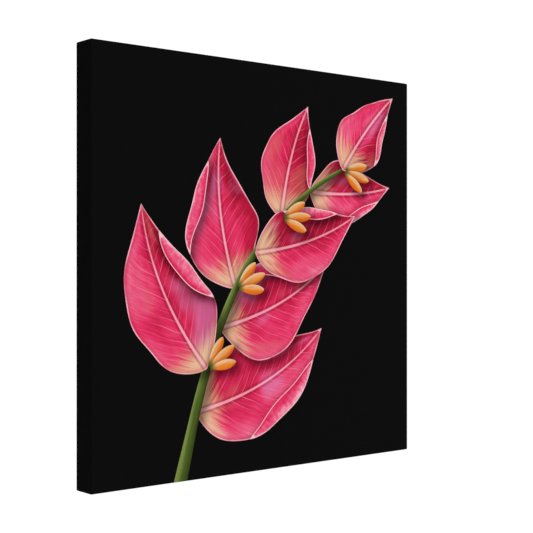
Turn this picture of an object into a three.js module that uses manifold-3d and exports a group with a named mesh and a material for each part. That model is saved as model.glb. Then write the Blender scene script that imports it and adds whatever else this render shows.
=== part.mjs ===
// A square picture printed on canvas, stretched over four keyed pine bars and hung on a sawtooth hanger.
// Millimetres, +Z up. The picture faces -Y, and the wall is the plane y = 0. The origin is the hanger's
// middle notch, the point that bears on the nail in the wall.
import * as THREE from "three";
import { mergeVertices } from "three/addons/utils/BufferGeometryUtils.js";
import Module from "manifold-3d";

const wasm = await Module();
wasm.setup();

// Driving dimensions of the whole picture, over its cloth
const FACE = 305; // width and height
const DEPTH = 19; // front face to back face
const HOOK_BELOW_TOP = 33; // the hanger's middle notch, below the top edge
const WALL_GAP = 2; // the cloth's back face to the wall, which the hanger stands on

// The cloth, one square sheet folded over the bars
const CLOTH = 0.5; // its thickness
const FLAP = 24; // how far it laps over the back
const EDGE_ROUND = 1; // the outer radius of its front and back edges
const CORNER_ROUND = 1.25; // the outer radius of its four short edges
const CORNER_FOLD = 0.5; // the extra layer of the folded corner on the back
const FOLD_INSET = 1.5; // that layer's distance from the outer edges

// The stretcher bars
const CLOTH_PLAY = 0.25; // between cloth and wood
const BAR_WIDTH = 38;
const BAR_DEPTH = DEPTH - 2 * (CLOTH + CLOTH_PLAY);
const BEAD_WIDTH = 3; // the raised outer edge, the only wood that the front cloth lies on
const BEAD_ROUND = 0.5;
const BEAD_DROP = 2; // from the bead down to the sloping front
const SLOPE_DROP = 3; // from the bead down to the front's inner edge
const ARRIS = 0.5; // the small chamfer on the other long edges
const MITRE_GAP = 0.3; // between two bars, square to the mitre
const TONGUE_THICK = 3.5;
const TONGUE_SHY = 1; // how far a tongue stops short of the next bar's outer face
const KERF_PLAY = 0.3; // each side of a tongue in its kerf
const BACK_CHEEK = 3; // the wood behind the rear kerf
const KEY_ROOM = 8; // how far a kerf runs on past the next bar's inner edge, for its key

// The wedge keys, two to a corner
const KEY_LENGTH = 30;
const KEY_TIP = 3; // width at the thin end
const KEY_TAIL = 9.2; // width at the thick end
const KEY_OUT = 10; // how much of it stands out of the kerf
const KEY_CLIP = 1.2; // its clipped tail corners

// The staples
const STAPLE_CROWN = 10;
const STAPLE_LEG = 6;
const STAPLE_WIRE = [1.2, 0.6]; // width and thickness of the flat wire
const STAPLES_A_SIDE = 6;
const STAPLE_PITCH = 49;
const STAPLE_INSET = 14; // from the picture's outer edge
const CORNER_STAPLE = [17, 9]; // from the two outer edges, on the folded corner
const STAPLE_PLAY = 0.3; // round each leg, in cloth and wood
const STAPLE_TILT = 5; // the most that a staple is off square, in degrees

// The sawtooth hanger and its two nails
const HANGER_LENGTH = 44;
const HANGER_HEIGHT = 9;
const HANGER_THICK = 0.75;
const HANGER_FOOT = 6; // each flat end
const HANGER_RAMP = 2.5; // each sloping stretch
const TEETH = 9;
const TOOTH_PITCH = 3;
const TOOTH_DEPTH = 1.5;
const NAIL_HEAD = 3.4;
const NAIL_HEAD_TOP = 2; // the flat of its slightly domed head
const NAIL_HEAD_THICK = 0.7;
const NAIL_SHANK = 1.3;
const NAIL_LENGTH = 10;
const NAIL_PLAY = 0.3;
const NAIL_SIDES = 20;

// Where things lie, measured in the picture's own frame: its centre is x = 0, z = 0, and y = 0 is the wall
const CLOTH_BACK = -WALL_GAP;
const WOOD_BACK = CLOTH_BACK - CLOTH - CLOTH_PLAY;
const HALF = FACE / 2;
const BAR_HALF = HALF - CLOTH - CLOTH_PLAY; // the frame's outer half width
const REACH = 2 * FACE; // longer than anything that a cutter has to pass through
const PAST = 1; // how far a cutter runs on past what it cuts
const FOUR_SIDES = ["top", "right", "bottom", "left"]; // each a quarter turn on from the last

// Solids and geometries

function solidOf(geometry) {
  const bare = geometry.index ? geometry.toNonIndexed() : geometry.clone();
  bare.deleteAttribute("normal");
  bare.deleteAttribute("uv");
  const merged = mergeVertices(bare, 1e-4);
  const mesh = new wasm.Mesh({
    numProp: 3,
    vertProperties: merged.attributes.position.array,
    triVerts: new Uint32Array(merged.index.array),
  });
  return new wasm.Manifold(mesh);
}

function geometryOf(solid) {
  const { vertProperties, triVerts } = solid.getMesh();
  const geometry = new THREE.BufferGeometry();
  geometry.setAttribute("position", new THREE.BufferAttribute(vertProperties, 3));
  geometry.setIndex(new THREE.BufferAttribute(triVerts, 1));
  geometry.computeVertexNormals();
  return geometry;
}

const cut = (solid, cutters) => cutters.reduce((rest, cutter) => rest.subtract(cutter), solid);

// A box between two opposite corners.
function boxBetween([x0, y0, z0], [x1, y1, z1]) {
  const box = new THREE.BoxGeometry(x1 - x0, y1 - y0, z1 - z0);
  return box.translate((x0 + x1) / 2, (y0 + y1) / 2, (z0 + z1) / 2);
}

// A flat outline in x and z, made into a plate from y = front to y = back.
function plate(points, front, back) {
  const outline = new THREE.Shape(points.map(([x, z]) => new THREE.Vector2(x, z)));
  const geometry = new THREE.ExtrudeGeometry(outline, { depth: back - front, bevelEnabled: false });
  return geometry.rotateX(Math.PI / 2).translate(0, back, 0);
}

// A section in y and z, drawn out along x from start to end.
function rail(points, start, end) {
  const outline = new THREE.Shape(points.map(([y, z]) => new THREE.Vector2(y, z)));
  const geometry = new THREE.ExtrudeGeometry(outline, { depth: end - start, bevelEnabled: false });
  const lie = new THREE.Matrix4().makeBasis(
    new THREE.Vector3(0, 1, 0),
    new THREE.Vector3(0, 0, 1),
    new THREE.Vector3(1, 0, 0),
  );
  return geometry.applyMatrix4(lie).translate(start, 0, 0);
}

const quarterTurns = (count) => new THREE.Matrix4().makeRotationY((count * Math.PI) / 2);
const mirrored = new THREE.Matrix4().makeScale(-1, 1, 1);

// Turns a geometry made for the top bar's left end into the same thing at its right end.
function atRightEnd(geometry) {
  const turned = (geometry.index ? geometry.toNonIndexed() : geometry.clone()).applyMatrix4(mirrored);
  const places = turned.attributes.position;
  for (let i = 0; i < places.count; i += 3) {
    const [x, y, z] = [places.getX(i), places.getY(i), places.getZ(i)];
    places.setXYZ(i, places.getX(i + 1), places.getY(i + 1), places.getZ(i + 1));
    places.setXYZ(i + 1, x, y, z);
  }
  return turned;
}

// Materials, one for each finish

const finish = (color, roughness, metalness = 0) =>
  new THREE.MeshStandardMaterial({ color, roughness, metalness });
const printedCanvas = finish(0x0e0e0e, 0.75);
const pine = finish(0xd9b27c, 0.6);
const beech = finish(0xc99a66, 0.55);
const galvanised = finish(0xb8bcc0, 0.35, 1);
const brassed = finish(0xb08d4a, 0.35, 1);

// Staples: where each one sits, and the holes that its legs make

const GOLDEN_STEP = 0.618034; // multiples of it fall evenly between whole numbers

// A repeatable number between -1 and 1 for each whole number, so that no two staples sit quite alike.
const spread = (count) => 2 * ((count * GOLDEN_STEP) % 1) - 1;

function staplePlaces() {
  const places = [];
  FOUR_SIDES.forEach((side, turns) => {
    for (let i = 0; i < STAPLES_A_SIDE; i++) {
      const tilt = spread(turns * STAPLES_A_SIDE + i + 1) * STAPLE_TILT;
      const along = (i - (STAPLES_A_SIDE - 1) / 2) * STAPLE_PITCH;
      const place = quarterTurns(turns)
        .multiply(new THREE.Matrix4().makeTranslation(along, CLOTH_BACK, HALF - STAPLE_INSET))
        .multiply(new THREE.Matrix4().makeRotationY(THREE.MathUtils.degToRad(tilt)));
      places.push({ name: `staple_${side}_${i + 1}`, place });
    }
  });
  const [across, down] = CORNER_STAPLE;
  for (const [side, up] of [["top", 1], ["bottom", -1]])
    for (const [end, out] of [["left", -1], ["right", 1]]) {
      const place = new THREE.Matrix4()
        .makeTranslation(out * (HALF - across), CLOTH_BACK + CORNER_FOLD, up * (HALF - down))
        .multiply(new THREE.Matrix4().makeRotationY((out * up * -Math.PI) / 4));
      places.push({ name: `staple_corner_${side}_${end}`, place });
    }
  return places;
}

// A staple as driven: its crown lies on y = 0 and its legs go to -y.
function stapleGeometry() {
  const [width, thick] = STAPLE_WIRE;
  const half = STAPLE_CROWN / 2;
  const inner = half - thick;
  const outline = [
    [-half, thick],
    [-half, -STAPLE_LEG + thick],
    [-inner, -STAPLE_LEG],
    [-inner, 0],
    [inner, 0],
    [inner, -STAPLE_LEG],
    [half, -STAPLE_LEG + thick],
    [half, thick],
  ];
  const shape = new THREE.Shape(outline.map(([x, y]) => new THREE.Vector2(x, y)));
  const geometry = new THREE.ExtrudeGeometry(shape, { depth: width, bevelEnabled: false });
  return geometry.translate(0, 0, -width / 2);
}

// The two leg holes of a staple, cut right through the cloth and past the legs' points.
function legHoles(place) {
  const [width, thick] = STAPLE_WIRE;
  const outer = STAPLE_CROWN / 2 + STAPLE_PLAY;
  const inner = STAPLE_CROWN / 2 - thick - STAPLE_PLAY;
  const side = width / 2 + STAPLE_PLAY;
  const deep = -STAPLE_LEG - STAPLE_PLAY;
  return [
    boxBetween([-outer, deep, -side], [-inner, WALL_GAP, side]),
    boxBetween([inner, deep, -side], [outer, WALL_GAP, side]),
  ].map((box) => solidOf(box.applyMatrix4(place)));
}

const staples = staplePlaces();
const stapleHoles = staples.flatMap(({ place }) => legHoles(place));

// The cloth: a tray of even thickness, open at the back inside its flaps, with a folded layer at each corner

// A square slab with rounded long and short edges, from y = front to y = back.
function roundedSlab(side, front, back, edge, corner) {
  const half = side / 2;
  const outline = new THREE.Shape();
  outline.moveTo(half, half - corner);
  outline.absarc(half - corner, half - corner, corner, 0, Math.PI / 2);
  outline.absarc(corner - half, half - corner, corner, Math.PI / 2, Math.PI);
  outline.absarc(corner - half, corner - half, corner, Math.PI, 1.5 * Math.PI);
  outline.absarc(half - corner, corner - half, corner, 1.5 * Math.PI, 2 * Math.PI);
  const geometry = new THREE.ExtrudeGeometry(outline, {
    depth: back - front - 2 * edge,
    curveSegments: 3,
    bevelSegments: 4,
    bevelThickness: edge,
    bevelSize: edge,
    bevelOffset: -edge,
  });
  return geometry.rotateX(Math.PI / 2).translate(0, back - edge, 0);
}

// The top cloth's end, folded under along the diagonal, which lies on the side flap as one layer more.
function cornerFold(up, out) {
  const near = HALF - FOLD_INSET;
  const far = HALF - FLAP;
  const points = [
    [out * near, up * near],
    [out * far, up * near],
    [out * far, up * far],
  ];
  return plate(out * up > 0 ? points : points.reverse(), CLOTH_BACK - CLOTH / 2, CLOTH_BACK + CORNER_FOLD);
}

function canvasCloth() {
  const front = CLOTH_BACK - DEPTH;
  const outer = solidOf(roundedSlab(FACE, front, CLOTH_BACK, EDGE_ROUND, CORNER_ROUND));
  const inner = solidOf(
    roundedSlab(
      FACE - 2 * CLOTH,
      front + CLOTH,
      CLOTH_BACK - CLOTH,
      EDGE_ROUND - CLOTH,
      CORNER_ROUND - CLOTH,
    ),
  );
  const lap = HALF - FLAP;
  const window = solidOf(boxBetween([-lap, front + DEPTH / 2, -lap], [lap, 0, lap]));
  let cloth = outer.subtract(inner).subtract(window);
  for (const up of [1, -1]) for (const out of [1, -1]) cloth = cloth.add(solidOf(cornerFold(up, out)));
  return geometryOf(cut(cloth, stapleHoles));
}

// The stretcher bars: four alike, each mitred, with a tongue and a kerf at both ends

// Depths from the wood's back face, as y: the rear layer and, next to it, the front layer.
const KERF_THICK = TONGUE_THICK + 2 * KERF_PLAY;
const LAYERS = [BACK_CHEEK, BACK_CHEEK + KERF_THICK].map((near) => ({
  kerf: [WOOD_BACK - near - KERF_THICK, WOOD_BACK - near],
  tongue: [WOOD_BACK - near - KERF_PLAY - TONGUE_THICK, WOOD_BACK - near - KERF_PLAY],
}));

// The bar's section, with the outer edge up: a rounded bead at the outer front edge, then a sloping face.
function barSection() {
  const front = WOOD_BACK - BAR_DEPTH;
  const outer = BAR_HALF;
  const inner = BAR_HALF - BAR_WIDTH;
  const round = [];
  for (let step = 0; step <= 3; step++) {
    const angle = (step / 3) * (Math.PI / 2);
    round.push([
      front + BEAD_ROUND * (1 - Math.sin(angle)),
      outer - BEAD_ROUND * (1 - Math.cos(angle)),
    ]);
  }
  return [
    [WOOD_BACK - ARRIS, outer],
    ...round,
    [front, outer - BEAD_WIDTH],
    [front + BEAD_DROP, outer - BEAD_WIDTH - BEAD_DROP / 2],
    [front + SLOPE_DROP, inner + ARRIS],
    [front + SLOPE_DROP + ARRIS, inner],
    [WOOD_BACK - ARRIS, inner],
    [WOOD_BACK, inner + ARRIS],
    [WOOD_BACK, outer - ARRIS],
  ];
}

// What is sawn off the top bar's left end, when its tongue is in one layer and its kerf in the other.
function endCuts(tongueLayer, kerfLayer) {
  const shift = MITRE_GAP / Math.SQRT2; // along the bar, for half the gap square to the mitre
  const corner = [-BAR_HALF + shift, BAR_HALF];
  const middle = [corner[0] + BAR_HALF, corner[1] - BAR_HALF];
  const above = [corner[0] - PAST, corner[1] + PAST];
  const beyond = [above, [-REACH, above[1]], [-REACH, middle[1]], middle];
  const front = WOOD_BACK - BAR_DEPTH - PAST;
  const back = WOOD_BACK + PAST;
  const [tongueFront, tongueBack] = LAYERS[tongueLayer].tongue;
  const [kerfFront, kerfBack] = LAYERS[kerfLayer].kerf;
  const kerfEnd = -BAR_HALF + BAR_WIDTH + KEY_ROOM;
  return [
    plate(beyond, front, tongueFront),
    plate(beyond, tongueBack, back),
    boxBetween([-REACH, front, 0], [-BAR_HALF + TONGUE_SHY, back, REACH]),
    boxBetween([-REACH, kerfFront, 0], [kerfEnd, kerfBack, REACH]),
  ];
}

function stretcherBar(turns, drilled) {
  const blank = solidOf(rail(barSection(), -BAR_HALF, BAR_HALF));
  const left = endCuts(0, 1).map(solidOf);
  const right = endCuts(1, 0).map((geometry) => solidOf(atRightEnd(geometry)));
  const sawn = geometryOf(cut(blank, [...left, ...right])).applyMatrix4(quarterTurns(turns));
  return geometryOf(cut(solidOf(sawn), [...stapleHoles, ...drilled]));
}

// The wedge keys: each fills the room between a tongue and the end of the kerf that it sits in

// The key in the top bar's left end, or with the layer and end changed, in its right end.
function keyGeometry(layer) {
  const straight = -BAR_HALF + BAR_WIDTH + KERF_PLAY; // the side that lies along the next bar
  const mouth = BAR_HALF - BAR_WIDTH; // the top bar's inner edge
  const tail = mouth - KEY_OUT;
  const tip = tail + KEY_LENGTH;
  const points = [
    [straight, tail + KEY_CLIP],
    [straight + KEY_CLIP, tail],
    [straight + KEY_TAIL - KEY_CLIP, tail],
    [straight + KEY_TAIL, tail + KEY_CLIP],
    [straight + KEY_TIP, tip],
    [straight, tip],
  ];
  return plate(points, ...LAYERS[layer].tongue);
}

// The sawtooth hanger: a strip bent to stand off the wood, toothed along its lower edge

function bentStrip() {
  const half = HANGER_LENGTH / 2;
  const foot = half - HANGER_FOOT;
  const raised = foot - HANGER_RAMP;
  const back = WOOD_BACK;
  const path = [
    [half, back],
    [foot, back],
    [raised, -HANGER_THICK],
    [-raised, -HANGER_THICK],
    [-foot, back],
    [-half, back],
  ];
  const underside = path.map(([x, y]) => new THREE.Vector2(x, y));
  const outside = path.map(([x, y]) => new THREE.Vector2(x, y + HANGER_THICK)).reverse();
  const strip = new THREE.ExtrudeGeometry(new THREE.Shape([...underside, ...outside]), {
    depth: HANGER_HEIGHT,
    bevelEnabled: false,
  });
  return solidOf(strip.translate(0, 0, -TOOTH_DEPTH));
}

const nailPlaces = [-1, 1].map((side) => [
  side * (HANGER_LENGTH - HANGER_FOOT) / 2,
  WOOD_BACK + HANGER_THICK,
  HANGER_HEIGHT / 2 - TOOTH_DEPTH,
]);

// A cylinder along y, from front to back, round a nail's centre line.
function nailHole([x, , z], front, back) {
  const hole = new THREE.CylinderGeometry(
    NAIL_SHANK / 2 + NAIL_PLAY,
    NAIL_SHANK / 2 + NAIL_PLAY,
    back - front,
    NAIL_SIDES,
  );
  return hole.translate(x, (front + back) / 2, z);
}

function sawtoothHanger() {
  const notches = [];
  for (let i = 0; i < TEETH; i++) {
    const x = (i - (TEETH - 1) / 2) * TOOTH_PITCH;
    const low = -TOOTH_DEPTH - PAST;
    const half = (TOOTH_PITCH / 2) * ((TOOTH_DEPTH + PAST) / TOOTH_DEPTH);
    const points = [
      [x - half, low],
      [x + half, low],
      [x, 0],
    ];
    notches.push(solidOf(plate(points, -WALL_GAP, PAST)));
  }
  const holes = nailPlaces.map((place) => solidOf(nailHole(place, WOOD_BACK - PAST, 0)));
  return geometryOf(cut(bentStrip(), [...notches, ...holes]));
}

// A round wire nail, with its head's underside at y = 0 and its point at -y.
function nailGeometry() {
  const shank = NAIL_SHANK / 2;
  const head = NAIL_HEAD / 2;
  const profile = [
    [0, -NAIL_LENGTH],
    [shank, -NAIL_LENGTH + 2 * shank],
    [shank, 0],
    [head, 0],
    [head, NAIL_HEAD_THICK / 2],
    [NAIL_HEAD_TOP / 2, NAIL_HEAD_THICK],
    [0, NAIL_HEAD_THICK],
  ];
  return new THREE.LatheGeometry(profile.map(([r, y]) => new THREE.Vector2(r, y)), NAIL_SIDES);
}

// Assembly: the picture group has its origin at the picture's centre, the hanger's at the nail

const object = new THREE.Group();
const picture = new THREE.Group();
picture.position.z = HOOK_BELOW_TOP - HALF;
object.add(picture);

function place(name, geometry, material, parent = picture) {
  const mesh = new THREE.Mesh(geometry, material);
  mesh.name = name;
  parent.add(mesh);
  return mesh;
}

place("canvas_cloth", canvasCloth(), printedCanvas);

const hookHeight = -picture.position.z;
const nailBores = nailPlaces.map(([x, y, z]) =>
  solidOf(nailHole([x, y, z + hookHeight], WOOD_BACK + HANGER_THICK - NAIL_LENGTH - PAST, 0)),
);
FOUR_SIDES.forEach((side, turns) => {
  place(`stretcher_bar_${side}`, stretcherBar(turns, nailBores), pine);
});

FOUR_SIDES.forEach((side, turns) => {
  const leftEnd = place(`wedge_key_${side}_a`, keyGeometry(1), beech);
  const rightEnd = place(`wedge_key_${side}_b`, atRightEnd(keyGeometry(0)), beech);
  for (const key of [leftEnd, rightEnd]) key.rotation.y = (turns * Math.PI) / 2;
});

for (const { name, place: where } of staples) {
  const staple = place(name, stapleGeometry(), galvanised);
  staple.applyMatrix4(where);
}

place("sawtooth_hanger", sawtoothHanger(), brassed, object);
nailPlaces.forEach(([x, y, z], i) => {
  const nail = place(`hanger_nail_${i + 1}`, nailGeometry(), brassed, object);
  nail.position.set(x, y, z);
});

export default object;
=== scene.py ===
# A picture printed on canvas, stretched and stapled over four keyed pine bars, with a sawtooth hanger.
# Metres, +Z up. The picture faces -Y, the wall is y = 0, and the hanger's middle notch is the origin.
import math
from functools import partialmethod

import bmesh
import bpy
import numpy as np
from mathutils import Matrix, Vector
from mathutils.geometry import delaunay_2d_cdt


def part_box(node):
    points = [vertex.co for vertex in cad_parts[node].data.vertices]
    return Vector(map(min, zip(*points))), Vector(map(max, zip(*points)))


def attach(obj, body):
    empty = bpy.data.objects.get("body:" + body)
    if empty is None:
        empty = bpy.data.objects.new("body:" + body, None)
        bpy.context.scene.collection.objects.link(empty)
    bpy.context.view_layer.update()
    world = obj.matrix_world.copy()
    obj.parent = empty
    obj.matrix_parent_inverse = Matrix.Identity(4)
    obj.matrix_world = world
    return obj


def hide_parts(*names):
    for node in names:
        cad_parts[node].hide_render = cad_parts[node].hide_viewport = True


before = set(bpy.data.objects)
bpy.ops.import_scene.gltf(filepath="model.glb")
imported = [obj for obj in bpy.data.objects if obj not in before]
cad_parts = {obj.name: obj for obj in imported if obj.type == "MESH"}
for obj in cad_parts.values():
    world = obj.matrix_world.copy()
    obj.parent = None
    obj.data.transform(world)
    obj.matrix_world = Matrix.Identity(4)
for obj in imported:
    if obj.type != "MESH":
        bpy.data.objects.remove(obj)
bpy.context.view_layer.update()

# Stretcher bars
# Four lengths of planed pine, mitred, and slotted into one another at the corners. They are bare
# finger-jointed stock with eased edges, so the grain changes at a joint, and here and there is a knot.

MM = 0.001
SIDES = ["top", "right", "bottom", "left"]  # each a quarter turn on from the last
cloth_low, cloth_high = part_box("canvas_cloth")
MIDDLE = Matrix.Translation((0, 0, (cloth_low.z + cloth_high.z) / 2))  # the middle of the picture
BAR_EDGE = 0.12 * MM
SHORTEST_EDGE = 1.5 * MM  # the rims of the staples' holes are shorter, and stay sharp
BAR_MIDLINE = 133 * MM  # from the picture's middle to the middle of a bar's width
BOARD_APART = 0.731  # so that no two bars come from the same stretch of the board
JOINT_AT = {"top": 34, "right": -61, "bottom": -12, "left": 900}  # millimetres; the last is past the end
KNOT_AT = {"top": (-71, 6), "right": (48, -9), "bottom": (66, 4), "left": (-20, -6)}  # along and across
FINGER = 3.2 * MM  # the width of the finger joint's fingers
FINGER_SLOPE = 3.4
RING = 2.2 * MM  # a year's growth
SAME_POINT = 0.001 * MM
SAME_PLANE = math.radians(1)
SHARP = math.radians(35)


def linear(colour):
    """A colour as screens give it, in three parts from 0 to 255, as Blender's own. A value stays as it is."""
    if isinstance(colour, Value):
        return colour
    parts = [part / 255 for part in colour]
    return [p / 12.92 if p <= 0.04045 else ((p + 0.055) / 1.055) ** 2.4 for p in parts] + [1]


class Value:
    """A number, place or colour that a node gives out. Each method adds the node that works out another."""

    def __init__(self, nodes, socket):
        self.nodes = nodes
        self.socket = socket

    def maths(self, operation, *others):
        return self.nodes.make("ShaderNodeMath", self, *others, operation=operation)

    __add__ = partialmethod(maths, "ADD")
    __sub__ = partialmethod(maths, "SUBTRACT")
    __mul__ = partialmethod(maths, "MULTIPLY")
    __truediv__ = partialmethod(maths, "DIVIDE")
    __pow__ = partialmethod(maths, "POWER")
    __lt__ = partialmethod(maths, "LESS_THAN")
    __gt__ = partialmethod(maths, "GREATER_THAN")
    __abs__ = partialmethod(maths, "ABSOLUTE")

    def __rsub__(self, other):
        return self * -1 + other

    def rise(self, low, high):
        """0 below low, 1 above high, and smooth between. With low above high it falls instead."""
        return self.nodes.make("ShaderNodeMapRange", self, low, high, interpolation_type="SMOOTHSTEP")

    def vector(self, operation, *others, **named):
        return self.nodes.make("ShaderNodeVectorMath", self, *others, operation=operation, **named)

    def stretch(self, *by):
        return self.vector("MULTIPLY", by)

    def length(self):
        return self.vector("LENGTH", output=1)

    def dim(self, light):
        """A colour times one number."""
        return self.vector("SCALE", Scale=light)

    def split(self):
        return [Value(self.nodes, part) for part in self.nodes.add("ShaderNodeSeparateXYZ", self).outputs]

    def noise(self, scale=1.0, detail=2.0, roughness=0.5):
        """Cloudy numbers from 0 to 1, mostly near a half. scale is one number, or one for each axis."""
        if isinstance(scale, tuple):
            return self.stretch(*scale).noise(1.0, detail, roughness)
        return self.nodes.make("ShaderNodeTexNoise", self, None, scale, detail, roughness)

    def mix(self, below, above):
        """The colour below where this number is 0, and the one above where it is 1."""
        colours = [None] * 5 + [linear(below), linear(above)]  # the five are inputs for other kinds of value
        return self.nodes.make("ShaderNodeMix", self, *colours, data_type="RGBA", output=2)

    def ramp(self, *stops):
        """Colours for this number's values from 0 to 1."""
        made = self.nodes.add("ShaderNodeValToRGB", self)
        points = made.color_ramp.elements
        while len(points) < len(stops):
            points.new(0.5)
        for point, (place, colour) in zip(points, stops):
            point.position = place
            point.color = linear(colour)
        return Value(self.nodes, made.outputs[0])


class Nodes:
    """A node tree as it is put together."""

    def __init__(self, tree):
        self.tree = tree

    def set(self, node, *inputs, **named):
        """Sets a node's inputs to numbers, or feeds them values. None leaves one as it is.

        A name without a capital is one of the node's settings, and these are set first."""
        for name in [name for name in named if name[0].islower()]:
            setattr(node, name, named.pop(name))
        by_name = [(node.inputs[name.replace("_", " ")], value) for name, value in named.items()]
        for socket, value in [*zip(node.inputs, inputs), *by_name]:
            if isinstance(value, Value):
                self.tree.links.new(value.socket, socket)
            elif value is not None:
                socket.default_value = value
        return node

    def add(self, kind, *inputs, **named):
        return self.set(self.tree.nodes.new(kind), *inputs, **named)

    def make(self, kind, *inputs, output=0, **named):
        """One output of a new node."""
        return Value(self, self.add(kind, *inputs, **named).outputs[output])

    def attribute(self, name):
        return self.make("ShaderNodeAttribute", attribute_name=name, output="Vector")

    def join(self, x, y, z):
        return self.make("ShaderNodeCombineXYZ", x, y, z)


class Finish(Nodes):
    """A material as it is put together. What is the same all over it is set on its shader itself."""

    def __init__(self, name, **plain):
        self.material = bpy.data.materials.new(name)
        self.material.use_nodes = True
        super().__init__(self.material.node_tree)
        self.shader = self.set(self.tree.nodes["Principled BSDF"], **plain)

    def coat(self, colour, roughness, height, depth):
        """Feeds the shader, with a relief that is depth metres high where height is 1. Gives the material."""
        relief = self.make("ShaderNodeBump", Distance=depth, Height=height)
        self.set(self.shader, Base_Color=colour, Roughness=roughness, Normal=relief)
        return self.material


def new_piece(name, data, *materials):
    for material in materials:
        data.materials.append(material)
    piece = bpy.data.objects.new(name, data)
    bpy.context.collection.objects.link(piece)
    return piece


def mesh_of(work, name):
    """The mesh that was worked out in work."""
    mesh = bpy.data.meshes.new(name)
    work.to_mesh(mesh)
    work.free()
    return mesh


def bake_down(piece):
    """Turns what a piece's modifiers make into its own plain mesh."""
    bpy.context.view_layer.update()
    graph = bpy.context.evaluated_depsgraph_get()
    mesh = bpy.data.meshes.new_from_object(
        piece.evaluated_get(graph), preserve_all_data_layers=True, depsgraph=graph
    )
    piece.modifiers.clear()
    piece.data = mesh
    mesh.name = piece.name


def smooth_shaded(mesh, sharp):
    mesh.shade_smooth()
    mesh.set_sharp_from_angle(angle=sharp)


def shaped(node, name, edge, materials, shortest=0.0):
    """A copy of a solid with whole flat faces. Its outward edges longer than shortest are eased by edge.

    The eased edges wear the last of its materials."""
    work = bmesh.new()
    work.from_mesh(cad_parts[node].data)
    bmesh.ops.remove_doubles(work, verts=work.verts, dist=SAME_POINT)
    bmesh.ops.dissolve_limit(work, angle_limit=SAME_PLANE, verts=work.verts, edges=work.edges)
    eased = work.edges.layers.float.new("bevel_weight_edge")
    for line in work.edges:
        outward = line.is_convex and line.calc_face_angle(0) > SHARP
        line[eased] = float(outward and line.calc_length() > shortest)
    mesh = mesh_of(work, name)
    smooth_shaded(mesh, SHARP)
    piece = new_piece(name, mesh, *materials)
    easing = piece.modifiers.new("eased edges", "BEVEL")
    easing.width = edge
    easing.segments = 2
    easing.limit_method = "WEIGHT"
    easing.use_clamp_overlap = False
    easing.harden_normals = True
    easing.material = len(materials) - 1
    bake_down(piece)
    return piece


def fit(piece, slot, *nodes):
    """Puts a finished piece in the place of its solids, and hides them. Its slot is not used."""
    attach(piece, "root")
    if nodes:
        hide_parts(*nodes)


def note(mesh, name, x, y, z, domain="POINT"):
    """Keeps a vector for each of a mesh's points or face corners, for a node tree to read."""
    values = np.stack(np.broadcast_arrays(x, y, z), 1).astype(np.float32)
    mesh.attributes.new(name, "FLOAT_VECTOR", domain).data.foreach_set("vector", values.ravel())


def read(items, name, width=1, kind=np.float32):
    """One property of each of a mesh's points, corners or faces. With a width, it is rows of that many."""
    values = np.empty(len(items) * width, kind)
    items.foreach_get(name, values)
    return values.reshape(-1, width) if width > 1 else values


def unturned(piece, side):
    """Three columns: the points of a piece on one side, turned about the picture's middle to the top bar."""
    back = Matrix.Rotation(-SIDES.index(side) * math.pi / 2, 4, "Y") @ MIDDLE.inverted()
    points = read(piece.data.vertices, "co", 3)
    return (points @ np.array(back.to_3x3()).T + np.array(back.translation)).T


def bare_pine():
    """Flat-sawn pine: two pieces of board, finger-jointed where joint x = 0, with rings round a knot."""
    nodes = Finish("bare_pine", Specular_IOR_Level=0.3)
    to_joint = nodes.attribute("joint").split()[0]
    along, across, depth = nodes.attribute("grain").split()
    finger = (across.maths("PINGPONG", FINGER) - FINGER / 2) * FINGER_SLOPE
    past_joint = to_joint - finger
    second = past_joint > 0
    across = across + second * 0.011
    place = nodes.join(along + second * 2.37, across, depth)

    wobble = place.noise((14, 60, 60))
    from_knot = nodes.attribute("knot").stretch(0.8, 1, 1).length() + wobble * (1.5 * MM)
    swirl = from_knot.rise(13 * MM, 2 * MM)
    pith = depth + place.noise((4, 1, 1), 1) * 0.075 - 4 * MM
    radius = nodes.join(0.0, across + 4 * MM, pith).length()
    radius = radius + wobble * RING + swirl * (7 * MM)
    year = (radius / RING).maths("FRACT")
    early, late = (233, 205, 160), (196, 146, 92)
    rings = year.ramp((0.0, early), (0.45, (228, 197, 150)), (0.88, late), (0.95, early))

    fibre = place.noise((30, 2200, 2200), 3, 0.6)
    tone = place.noise((5, 70, 70))
    pores = place.noise((9, 900, 900), 3, 0.6)
    light = fibre * 0.3 + tone * 0.26 + pores * 0.24 + 0.6
    wood = rings.dim(light * (1 - second * 0.07))

    knot_rings = from_knot.maths("PINGPONG", 0.55 * MM).rise(0.0, 0.5 * MM)
    knot_wood = knot_rings.mix((122, 74, 40), (160, 104, 60))
    wood = from_knot.rise(5.6 * MM, 4.6 * MM).mix(wood, knot_wood)
    bark = from_knot.rise(6.1 * MM, 5.2 * MM) * from_knot.rise(4.2 * MM, 5 * MM)
    wood = (bark * 0.8).mix(wood, (84, 50, 28))
    glue = abs(past_joint).rise(0.45 * MM, 0.1 * MM)
    wood = (glue * 0.55).mix(wood, (120, 78, 44))
    return nodes.coat(wood, fibre * 0.2 + 0.52, year * 0.25 + fibre, 0.05 * MM)


pine = bare_pine()
for number, side in enumerate(SIDES):
    bar = shaped(f"stretcher_bar_{side}", f"pine_bar_{side}", BAR_EDGE, [pine], SHORTEST_EDGE)
    along, depth, out = unturned(bar, side)
    across = out - BAR_MIDLINE
    knot_along, knot_across = np.array(KNOT_AT[side]) * MM
    note(bar.data, "grain", along + BOARD_APART * number, across, depth)
    note(bar.data, "joint", along - JOINT_AT[side] * MM, 0, 0)
    note(bar.data, "knot", along - knot_along, across - knot_across, 0)
    fit(bar, "pine", f"stretcher_bar_{side}")

# Wedge keys
# Eight thin beech wedges, two in each corner's slots. They are tapped in from inside to spread the corner
# and tighten the canvas, and their thick ends stand out of the slots.

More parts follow.
